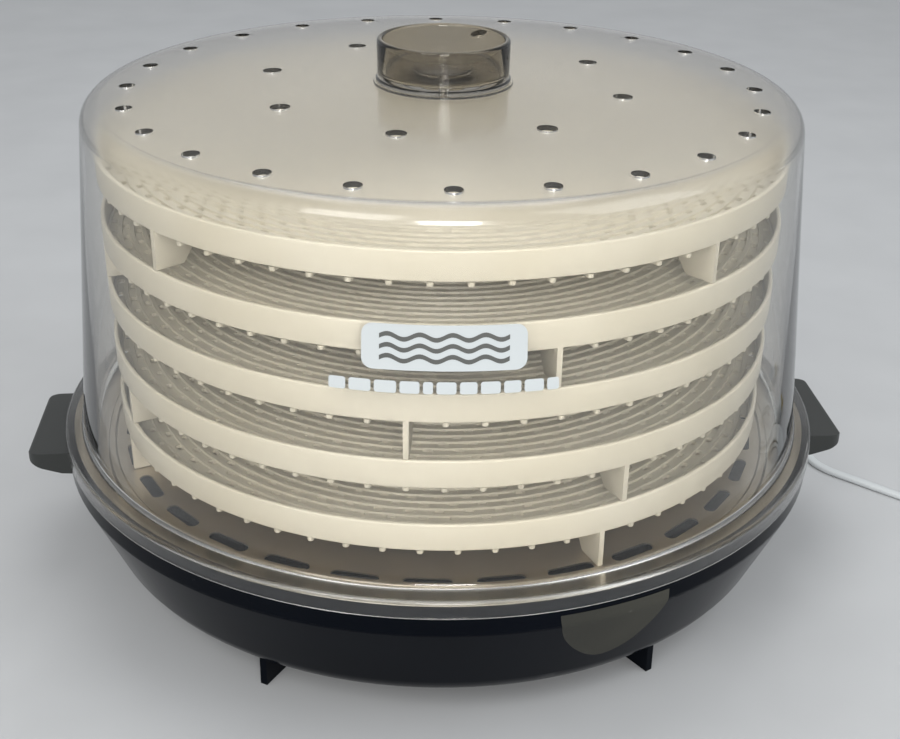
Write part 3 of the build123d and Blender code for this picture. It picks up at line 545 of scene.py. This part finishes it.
def make_legs(bm):
    """Thin plates: an upright outer edge, a flat sole and an inner edge that runs up and in."""
    leg = bmesh.new()
    corners = [(TRAY_RADIUS - LEG_FOOT - LEG_SLOPE, FLOOR_BOTTOM), (TRAY_RADIUS - LEG_FOOT, -SOLE_DROP),
               (TRAY_RADIUS, -SOLE_DROP), (TRAY_RADIUS, 0.5), (TRAY_RADIUS - 1.6, 0.5),
               (TRAY_RADIUS - 1.6, FLOOR_BOTTOM)]
    face = leg.faces.new([leg.verts.new((r * MM, -LEG_THICKNESS / 2 * MM, z * MM)) for r, z in corners])
    pushed = bmesh.ops.extrude_face_region(leg, geom=[face])
    bmesh.ops.translate(leg, verts=[g for g in pushed["geom"] if isinstance(g, bmesh.types.BMVert)],
                        vec=(0, LEG_THICKNESS * MM, 0))
    bmesh.ops.recalc_face_normals(leg, faces=leg.faces)
    bmesh.ops.bevel(leg, geom=[e for e in leg.edges if e.verts[0].co.z < 0 and e.verts[1].co.z < 0],
                    affect="EDGES", offset=0.35 * MM, segments=2, profile=0.5, material=-1)
    copy_round(leg, leg.verts[:] + leg.edges[:] + leg.faces[:], 4)
    add_mesh(bm, leg)


tray_mesh = bmesh.new()
make_rim(tray_mesh)
make_ribs(tray_mesh)
make_hub(tray_mesh)
make_legs(tray_mesh)
add_mesh(tray_mesh, floor_mesh)
print("tray faces", len(tray_mesh.faces), "verts", len(tray_mesh.verts))


# %% [markdown]
# The five trays are the same moulding. Nobody lines them up when stacking them, so each is turned its own
# way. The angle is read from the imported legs, so the seen legs stand where the solid ones do.

# %% Stack the trays
def leg_turn(number):
    """The angle of a tray's first leg about Z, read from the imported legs."""
    verts = frame["nodes"][f"tray_{number}_legs"].data.vertices
    outer = (TRAY_RADIUS - 5) * MM
    quarter = [v.co for v in verts if v.co.x > 0 and v.co.y >= 0 and v.co.xy.length > outer]
    return sum(math.atan2(c.y, c.x) for c in quarter) / len(quarter)


for number in range(1, 6):
    bm = tray_mesh.copy()
    bmesh.ops.rotate(bm, verts=bm.verts, cent=(0, 0, 0), matrix=Matrix.Rotation(leg_turn(number), 3, "Z"))
    rim_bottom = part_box(f"tray_{number}_rim")[1].z - RIM_HEIGHT * MM
    bmesh.ops.translate(bm, verts=bm.verts, vec=(0, 0, rim_bottom))
    tray = finish_piece(bm, f"tray_{number}_moulding", 40.0)
    dress(tray, f"tray_{number}", tray_finish,
          (f"tray_{number}_rim", f"tray_{number}_floor", f"tray_{number}_legs"))
tray_mesh.free()

# %% [markdown]
# ## Smoked clear plastic
# The cover and its knob are moulded in clear plastic with a faint bronze smoke. Each time light crosses
# a surface it loses a little, so the colour builds up where one looks through more walls, as at the
# turned edges. A clear wall would block the lamps in a path tracer, so for shadow rays a plain
# transparent shader stands in for the glassy one and lets the trays be lit. The Light Path node stays in
# the material, beside the shaders.

# %% Cover finish
CROWN_BAND = (0.2280, 0.2450)
FLANGE_BAND = (0.0790, 0.0800)
FLANGE_WEAR = 0.14
SCUFF_ROUGHNESS = 0.12


def height_mask(tree, low, high):
    """A mask that grows from 0 to 1 between two heights of the object, in metres."""
    place = tree.nodes.new("ShaderNodeTexCoord")
    parts = tree.nodes.new("ShaderNodeSeparateXYZ")
    tree.links.new(place.outputs["Object"], parts.inputs[0])
    return remap(tree, parts.outputs["Z"], low, high)


def smoked_clear(name, tint, top_tint, shadow_tint, polish, worn):
    """A clear tinted plastic: polished on the wall, and duller on the crown and round the bottom edge."""
    material, tree, shader = new_material(name)
    top = height_mask(tree, *CROWN_BAND)
    tree.links.new(blend_colours(tree, top, tint, top_tint), shader.inputs["Base Color"])
    shader.inputs["Transmission Weight"].default_value = 1.0
    shader.inputs["IOR"].default_value = 1.49
    scuff = use_group(tree, scuff_group, Scale=420.0, Amount=0.6)
    haze = tree.nodes.new("ShaderNodeMath")
    haze.operation = "MULTIPLY_ADD"
    tree.links.new(remap(tree, top, 0.0, 1.0, polish, worn), haze.inputs[2])
    tree.links.new(scuff, haze.inputs[0])
    haze.inputs[1].default_value = SCUFF_ROUGHNESS
    edge = remap(tree, height_mask(tree, *FLANGE_BAND), 1.0, 0.0, 0.0, FLANGE_WEAR)
    lower = tree.nodes.new("ShaderNodeMath")
    tree.links.new(haze.outputs[0], lower.inputs[0])
    tree.links.new(edge, lower.inputs[1])
    tree.links.new(lower.outputs[0], shader.inputs["Roughness"])
    bump_from(tree, use_group(tree, drift_group, Scale=9.0), 0.05, 0.0006, shader)
    clear = tree.nodes.new("ShaderNodeBsdfTransparent")
    clear.inputs["Color"].default_value = (*shadow_tint, 1.0)
    ray = tree.nodes.new("ShaderNodeLightPath")
    mix = tree.nodes.new("ShaderNodeMixShader")
    tree.links.new(ray.outputs["Is Shadow Ray"], mix.inputs[0])
    tree.links.new(shader.outputs[0], mix.inputs[1])
    tree.links.new(clear.outputs[0], mix.inputs[2])
    tree.links.new(mix.outputs[0], tree.nodes["Material Output"].inputs["Surface"])
    return material


cover_finish = smoked_clear("smoked_cover", (0.92, 0.91, 0.885), (0.90, 0.885, 0.86), (0.93, 0.925, 0.91),
                            0.008, 0.16)
knob_finish = smoked_clear("smoked_knob", (0.50, 0.475, 0.43), (0.50, 0.475, 0.43), (0.70, 0.69, 0.66),
                           0.02, 0.02)

# %% [markdown]
# ## Clear domed cover
# The cover is one turned shape: a shallow crown, a tightly rounded shoulder, a wall that widens a little
# towards the bottom, then a flange and a short skirt that slips over the pan's neck. The half section is
# spun, and round cutters make the vent holes with a Boolean modifier, which is applied at once. Operators
# alone could make the holes too, but cutting them leaves the crown's smooth rings as they are.

# %% Cover measures, in millimetres
dome_low, dome_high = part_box("cover_dome")
SKIRT_OUTER = (dome_high.x - dome_low.x) / 2 / MM
SKIRT_WALL = 2.2
SKIRT_BOTTOM = dome_low.z / MM
CROWN_HEIGHT = 249.2
CROWN_DROP = 4.1
SHOULDER_RADIUS = 174.1
FOOT_RADIUS = 187.2
FOOT_HEIGHT = 81.0
COVER_WALL = 2.5
SEAT_HEIGHT = 76.3
FLANGE_TOP = 78.9
PAD_RADIUS = 34.2
PAD_RISE = 0.78
COVER_TURN = -92.5
OUTER_VENTS = (24, 154.0, 8.0)
INNER_VENTS = (8, 88.2, 9.6)
print("skirt radius", round(SKIRT_OUTER, 2), "bottom", round(SKIRT_BOTTOM, 2))


def crown(radius):
    """Height of the crown's outside at a radius."""
    return CROWN_HEIGHT - CROWN_DROP * (radius / SHOULDER_RADIUS) ** 2


def cover_outline():
    """The cover's closed half section, outside first."""
    rings = [24 * i for i in range(2, 7)]
    pad = CROWN_HEIGHT + PAD_RISE
    outside = [(0, pad), (PAD_RADIUS, pad), (PAD_RADIUS, crown(PAD_RADIUS))]
    outside += [(r, crown(r)) for r in rings]
    corners = [(SHOULDER_RADIUS, crown(SHOULDER_RADIUS)), (FOOT_RADIUS, FOOT_HEIGHT),
               (SKIRT_OUTER, FLANGE_TOP),
               (SKIRT_OUTER, SKIRT_BOTTOM), (SKIRT_OUTER - SKIRT_WALL, SKIRT_BOTTOM),
               (SKIRT_OUTER - SKIRT_WALL, SEAT_HEIGHT), (FOOT_RADIUS - COVER_WALL, SEAT_HEIGHT),
               (SHOULDER_RADIUS - COVER_WALL, crown(SHOULDER_RADIUS) - COVER_WALL)]
    first = len(outside)
    rounds = {1: 0.4, first: 10.0, first + 1: 3.0, first + 2: 2.2, first + 3: 0.7, first + 4: 0.5,
              first + 7: 7.5}
    inside = [(r, crown(r) - COVER_WALL) for r in reversed(rings)] + [(0, CROWN_HEIGHT - COVER_WALL)]
    return rounded(outside + corners + inside, rounds, 7)


def round_cutters(bm, count, ring_radius, diameter, start):
    """Upright bars that a ring of holes is cut with."""
    bar = bmesh.new()
    radius = diameter / 2 * MM
    bmesh.ops.create_cone(bar, cap_ends=True, segments=28, radius1=radius, radius2=radius, depth=20 * MM)
    bmesh.ops.translate(bar, verts=bar.verts, vec=(ring_radius * MM, 0, CROWN_HEIGHT * MM))
    copy_round(bar, bar.verts[:] + bar.edges[:] + bar.faces[:], count, start)
    add_mesh(bm, bar)


def cut_holes(piece, cutters):
    """Applies a Boolean difference and removes the cutter."""
    tool = finish_piece(cutters, "cutter")
    modifier = piece.modifiers.new("holes", "BOOLEAN")
    modifier.object = tool
    modifier.operation = "DIFFERENCE"
    modifier.solver = "EXACT"
    bpy.context.view_layer.update()
    cut = bpy.data.meshes.new_from_object(piece.evaluated_get(bpy.context.evaluated_depsgraph_get()))
    piece.modifiers.clear()
    piece.data = cut
    cut.shade_smooth()
    cut.set_sharp_from_angle(angle=math.radians(40.0))
    bpy.data.objects.remove(tool)
    print(piece.name, "faces after cutting", len(cut.polygons))


bm = bmesh.new()
lathe(bm, cover_outline(), 224)
cover = finish_piece(bm, "clear_cover", 40.0)
cutters = bmesh.new()
round_cutters(cutters, *OUTER_VENTS, COVER_TURN)
round_cutters(cutters, *INNER_VENTS, COVER_TURN - 15.0)
round_cutters(cutters, 1, 0.0, 3.9, 0.0)
cut_holes(cover, cutters)
dress(cover, "cover", cover_finish, ("cover_dome",))

# %% [markdown]
# ## Knob
# The knob is an open cup on a small raised pad, darker than the cover because one looks through both
# its walls. It has a rounded lip, a small bead at its foot and a boss in the middle for the screw from
# below.

# %% Turn the knob
knob_low, knob_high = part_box("cover_knob")
BASE = knob_low.z / MM
TOP = knob_high.z / MM
KNOB_BASE_RADIUS = 33.1
KNOB_TOP_RADIUS = 32.5
KNOB_WALL = 2.8
KNOB_FLOOR = 3.0
BOSS_RADIUS = 14.8
BOSS_RISE = 2.0
SCREW_BORE = 1.8
bm = bmesh.new()
lathe(bm, rounded([
    (SCREW_BORE, BASE), (KNOB_BASE_RADIUS, BASE), (KNOB_BASE_RADIUS, BASE + 1.6),
    (KNOB_TOP_RADIUS - 0.2, BASE + 2.2), (KNOB_TOP_RADIUS, TOP), (KNOB_TOP_RADIUS - KNOB_WALL, TOP),
    (KNOB_TOP_RADIUS - KNOB_WALL - 0.2, BASE + KNOB_FLOOR), (BOSS_RADIUS, BASE + KNOB_FLOOR),
    (BOSS_RADIUS, BASE + KNOB_FLOOR + BOSS_RISE), (SCREW_BORE, BASE + KNOB_FLOOR + BOSS_RISE),
], {1: 0.6, 2: 0.6, 4: 1.35, 5: 1.35, 6: 2.2, 7: 0.5, 8: 0.9}, 5), 128)
knob = finish_piece(bm, "cup_knob", 40.0)
dress(knob, "cover", knob_finish, ("cover_knob",))

# %% [markdown]
# ## Badge
# A small white badge sits on the front of the cover, with a line of marks under it. This one is generic:
# a rounded plate with three wavy heat lines on it, and plain dashes. It is drawn flat and then wrapped round
# the sloping wall, as a printed film would be.

# %% Badge measures, in millimetres
BADGE_WIDTH = 66.5
BADGE_HEIGHT = 19.3
BADGE_MIDDLE = 188.4
BADGE_TURN = -3.66
DASH_MIDDLE = 171.5
DASH_HEIGHT = 5.2
FILM = 0.25
WALL_SLOPE = (FOOT_RADIUS - SHOULDER_RADIUS) / (crown(SHOULDER_RADIUS) - FOOT_HEIGHT)


def wall_radius(height):
    """Outside radius of the cover's wall at a height."""
    return FOOT_RADIUS - (height - FOOT_HEIGHT) * WALL_SLOPE


def wrap_on_wall(bm, middle_height, turn):
    """Bends a flat film, drawn in X and Z with its back at Y 0, round the front of the cover's wall."""
    for v in bm.verts:
        height = middle_height + v.co.z
        radius = wall_radius(height) + 0.12 - v.co.y
        angle = math.radians(turn) + v.co.x / wall_radius(middle_height)
        v.co = Vector((radius * math.sin(angle), -radius * math.cos(angle), height)) * MM


def film_strip(bm, width, height, corner, x=0.0, z=0.0):
    """A flat rounded plate standing in the XZ plane, finely divided along X so that it can bend."""
    plate = bmesh.new()
    bmesh.ops.create_grid(plate, x_segments=1, y_segments=1, size=0.5)
    bmesh.ops.scale(plate, verts=plate.verts, vec=(width, height, 1))
    bmesh.ops.bevel(plate, geom=plate.verts[:], affect="VERTICES", offset=corner, segments=6, profile=0.5,
                    material=-1)
    pushed = bmesh.ops.extrude_face_region(plate, geom=plate.faces[:])
    raised = [g for g in pushed["geom"] if isinstance(g, bmesh.types.BMVert)]
    bmesh.ops.translate(plate, verts=raised, vec=(0, 0, FILM))
    bmesh.ops.rotate(plate, verts=plate.verts, matrix=Matrix.Rotation(math.radians(90), 3, "X"))
    bmesh.ops.translate(plate, verts=plate.verts, vec=(x, 0, z))
    for step in range(1, int(width / 3)):
        cut = x - width / 2 + 3 * step
        bmesh.ops.bisect_plane(plate, geom=plate.verts[:] + plate.edges[:] + plate.faces[:],
                               plane_co=(cut, 0, 0), plane_no=(1, 0, 0))
    bmesh.ops.recalc_face_normals(plate, faces=plate.faces)
    add_mesh(bm, plate)


# %% White film of the badge
white_film = plastic("white_film", (0.66, 0.70, 0.71), (0.62, 0.66, 0.67), 0.35, grain=0.05, scuffs=0.7,
                     scuff_colour=(0.55, 0.55, 0.52))
bm = bmesh.new()
film_strip(bm, BADGE_WIDTH, BADGE_HEIGHT, 4.5)
wrap_on_wall(bm, BADGE_MIDDLE, BADGE_TURN)
badge = finish_piece(bm, "badge_plate", 30.0)
dress(badge, "cover", white_film)

# %% Dashes under the badge
dash_widths = [7, 9, 9, 8, 4, 8, 7, 8, 7, 8, 5]
gap = 1.4
bm = bmesh.new()
left = -(sum(dash_widths) + gap * (len(dash_widths) - 1)) / 2
for width in dash_widths:
    film_strip(bm, width, DASH_HEIGHT, 1.0, left + width / 2)
    left += width + gap
wrap_on_wall(bm, DASH_MIDDLE, BADGE_TURN)
dashes = finish_piece(bm, "badge_dashes", 30.0)
dress(dashes, "cover", white_film)

# %% [markdown]
# The heat lines are dark ribbons that follow a sine wave along the plate, a hair proud of it.

# %% Heat lines on the badge
def wavy_ribbon(bm, z, length, width, swing, waves):
    """A thin ribbon whose middle follows a sine wave."""
    ribbon = bmesh.new()
    bmesh.ops.create_grid(ribbon, x_segments=60, y_segments=1, size=0.5)
    bmesh.ops.scale(ribbon, verts=ribbon.verts, vec=(length, width, 1))
    for v in ribbon.verts:
        v.co.y += swing * math.sin(math.tau * waves * v.co.x / length)
    pushed = bmesh.ops.extrude_face_region(ribbon, geom=ribbon.faces[:])
    raised = [g for g in pushed["geom"] if isinstance(g, bmesh.types.BMVert)]
    bmesh.ops.translate(ribbon, verts=raised, vec=(0, 0, 0.12))
    bmesh.ops.rotate(ribbon, verts=ribbon.verts, matrix=Matrix.Rotation(math.radians(90), 3, "X"))
    bmesh.ops.translate(ribbon, verts=ribbon.verts, vec=(0, -FILM, z))
    bmesh.ops.recalc_face_normals(ribbon, faces=ribbon.faces)
    add_mesh(bm, ribbon)


bm = bmesh.new()
for z in (-4.6, 0.0, 4.6):
    wavy_ribbon(bm, z, 52.0, 1.9, 1.1, 4)
wrap_on_wall(bm, BADGE_MIDDLE, BADGE_TURN)
lines = finish_piece(bm, "badge_heat_lines", 30.0)
dark_ink = plastic("dark_ink", (0.10, 0.105, 0.10), (0.13, 0.13, 0.12), 0.5, grain=0.03, scuffs=0.2)
dress(lines, "cover", dark_ink)

# %% [markdown]
# ## Blank paper label
# An old paper label is stuck low on the pan's right front, tucked up under the cover's skirt. It carries no
# writing. It is a flat patch with a rounded lower end, bent to the pan's slope, with a few soft wrinkles.
# Its colour is painted very dark: painted shade for the shadow that the skirt casts on it.

# %% Paper label on the pan
PAN_TURN_RADIUS = 173.8
PAN_FOOT = 12.0
PAN_UPRIGHT_RADIUS = 195.8
PAN_UPRIGHT_BOTTOM = 61.5
LABEL_TURN = 19.4
LABEL_TOP = 67.5
LABEL_WIDTH = 54.0
LABEL_DROP = 36.0


def pan_radius(height):
    """Outside radius of the pan's sloping side at a height."""
    share = (height - PAN_FOOT) / (PAN_UPRIGHT_BOTTOM - PAN_FOOT)
    return PAN_TURN_RADIUS + (PAN_UPRIGHT_RADIUS - PAN_TURN_RADIUS) * min(share, 1.0)


bm = bmesh.new()
bmesh.ops.create_grid(bm, x_segments=36, y_segments=24, size=0.5)
for v in bm.verts:
    along, down = v.co.x, 0.5 - v.co.y
    width = LABEL_WIDTH * (1.0 - 0.52 * down ** 2.2)
    skew = 2.5 * down
    height = LABEL_TOP - LABEL_DROP * down * (1.0 - 0.16 * (2 * along) ** 2)
    radius = pan_radius(height) + 0.16 + 0.10 * math.sin(9.0 * along + 3.0 * down) * down
    angle = math.radians(LABEL_TURN) + (along * width + skew) / pan_radius(height)
    v.co = Vector((radius * math.sin(angle), -radius * math.cos(angle), height)) * MM
bmesh.ops.recalc_face_normals(bm, faces=bm.faces)
bmesh.ops.solidify(bm, geom=bm.faces[:], thickness=0.1 * MM)
bmesh.ops.recalc_face_normals(bm, faces=bm.faces)
label = finish_piece(bm, "paper_label", 40.0)
# Both paper tones are painted shade: light paper made near-black where the cover's skirt shadows it. The
# lighter specks are wear.
label_painted_shade_finish = plastic("paper_painted_shade", (0.070, 0.068, 0.056), (0.042, 0.042, 0.036), 0.75, grain=0.3,
                       scuffs=0.9, scuff_colour=(0.14, 0.14, 0.13), specular=0.2)
dress(label, "base", label_painted_shade_finish)

# %% [markdown]
# ## Finishes for the solid parts
# The imported parts whose shape is right keep their meshes and get better materials: glossy black
# moulding for the pan, with a painted navy reflection in its colour, satin black for the handles, bright
# sheet metal for the deck, and plain workshop metals and insulation inside.

# %% Paint the imported parts
finishes = {
    # The pan's black is its own. The faint navy cast in both tones is a painted reflection.
    "pan_black": plastic("pan_gloss_black_painted_navy_reflection", (0.0010, 0.0020, 0.0042), (0.0018, 0.0030, 0.0060), 0.16,
                         grain=0.02, scuffs=0.35, scuff_colour=(0.02, 0.024, 0.03), specular=0.06),
    "handle_black": plastic("handle_satin_black", (0.030, 0.033, 0.031), (0.022, 0.024, 0.023), 0.42,
                            grain=0.25, scuffs=0.5, scuff_colour=(0.10, 0.10, 0.10)),
    "deck_metal": metal("deck_bright_sheet", (0.62, 0.56, 0.46), (0.52, 0.46, 0.37), 0.32),
    "screw_steel": metal("zinc_screw", (0.62, 0.62, 0.60), (0.50, 0.50, 0.49), 0.28),
    "lamination_steel": metal("laminated_steel", (0.22, 0.22, 0.23), (0.15, 0.15, 0.16), 0.45),
    "copper_winding": metal("varnished_copper", (0.72, 0.30, 0.14), (0.55, 0.20, 0.09), 0.3),
    "zinc_steel": metal("zinc_strap", (0.60, 0.60, 0.56), (0.50, 0.50, 0.45), 0.3),
    "rotor_metal": metal("cast_rotor", (0.50, 0.50, 0.52), (0.42, 0.42, 0.44), 0.35),
    "shaft_steel": metal("ground_shaft", (0.68, 0.68, 0.69), (0.60, 0.60, 0.62), 0.15),
    "impeller_plastic": plastic("impeller_black", (0.05, 0.05, 0.055), (0.035, 0.035, 0.04), 0.5),
    "heater_sheath": metal("heat_tinted_sheath", (0.20, 0.17, 0.15), (0.10, 0.09, 0.10), 0.4),
    "ceramic_white": plastic("bare_ceramic", (0.78, 0.76, 0.70), (0.70, 0.67, 0.60), 0.8, grain=0.4),
    "block_nylon": plastic("nylon_block", (0.78, 0.76, 0.70), (0.72, 0.70, 0.63), 0.5),
    "cutout_metal": metal("pressed_can", (0.66, 0.66, 0.66), (0.56, 0.56, 0.57), 0.3),
    "wire_sleeve": plastic("wire_sleeve", (0.70, 0.66, 0.56), (0.62, 0.58, 0.48), 0.5),
    "cord_white": cord_finish,
    "plug_white": plastic("plug_moulding", (0.66, 0.70, 0.72), (0.60, 0.64, 0.66), 0.32, grain=0.08,
                          scuffs=0.4, scuff_colour=(0.42, 0.40, 0.37)),
    "blade_brass": metal("plated_blade", (0.72, 0.62, 0.38), (0.62, 0.52, 0.30), 0.22),
}
slot_of = {part["node"]: part["material_slot"] for part in frame["record"]["subparts"]}
for node, part in frame["nodes"].items():
    if slot_of[node] in finishes and not part.hide_render:
        part.data.materials.clear()
        part.data.materials.append(finishes[slot_of[node]])
print("painted", sum(slot_of[n] in finishes for n in frame["nodes"]))

# %% [markdown]
# ## Floor and light
# A plain pale floor and soft studio light show the shapes without telling a story of their own. The
# world gives an even, slightly cool fill. A soft lamp low in front lights the spaces between the trays, and
# three larger ones shape the rest.

# %% Pale floor
bm = bmesh.new()
bmesh.ops.create_grid(bm, x_segments=1, y_segments=1, size=6.0)
floor = finish_piece(bm, "pale_floor")
floor_finish = plastic("floor_pale", (0.60, 0.61, 0.62), (0.57, 0.58, 0.59), 0.7, grain=0.1, scuffs=0.0)
floor.data.materials.append(floor_finish)


# %% Lamps and world
def soft_lamp(name, place, aim, size, power, colour):
    """A large square lamp pointed at a place."""
    data = bpy.data.lights.new(name, "AREA")
    data.size = size
    data.energy = power
    data.color = colour
    lamp = bpy.data.objects.new(name, data)
    lamp.location = place
    lamp.rotation_euler = (Vector(aim) - Vector(place)).to_track_quat("-Z", "Y").to_euler()
    bpy.context.scene.collection.objects.link(lamp)


soft_lamp("front", (-0.05, -1.5, 0.80), (0, 0, 0.14), 0.45, 9.0, (1.0, 0.985, 0.96))
soft_lamp("key", (-0.7, -1.1, 1.2), (0, 0, 0.12), 0.7, 5.5, (1.0, 0.99, 0.97))
soft_lamp("fill", (0.9, -0.5, 1.1), (0, 0, 0.12), 0.9, 4.0, (0.95, 0.98, 1.0))
soft_lamp("top", (0.0, 0.5, 1.5), (0, 0, 0.2), 1.0, 4.0, (1.0, 1.0, 1.0))
world = bpy.data.worlds.new("studio")
world.use_nodes = True
world.node_tree.nodes["Background"].inputs["Color"].default_value = (0.80, 0.82, 0.84, 1.0)
world.node_tree.nodes["Background"].inputs["Strength"].default_value = 0.62
bpy.context.scene.world = world
bpy.context.scene.view_settings.view_transform = "Standard"

# %% Finish
print("scene built")
